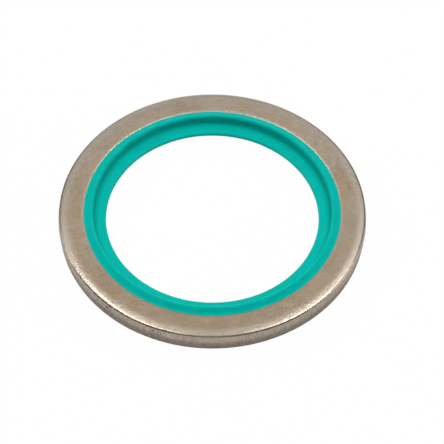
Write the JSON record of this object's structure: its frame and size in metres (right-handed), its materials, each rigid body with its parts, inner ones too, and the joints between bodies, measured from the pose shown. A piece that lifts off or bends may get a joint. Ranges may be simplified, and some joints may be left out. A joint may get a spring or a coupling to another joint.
{
  "type": "bonded sealing washer",
  "caption": "Flat metal ring with a teal elastomer seal bonded into its bore: a raised lip on each face and a thin centring web round the hole.",
  "frame": {"origin": "on the axis of the hole, halfway between the metal ring's two flat faces", "axes": "+Z along the hole's axis, out of the face whose edges are rounded over by stamping; the washer is round about Z"},
  "size_m": [0.035, 0.035, 0.0032],
  "materials": {
    "ring_metal": "satin",
    "seal_elastomer": "matte"
  },
  "bodies": {
    "root": {"metal_ring": "ring_metal", "sealing_ring": "seal_elastomer"}
  },
  "joints": []
}
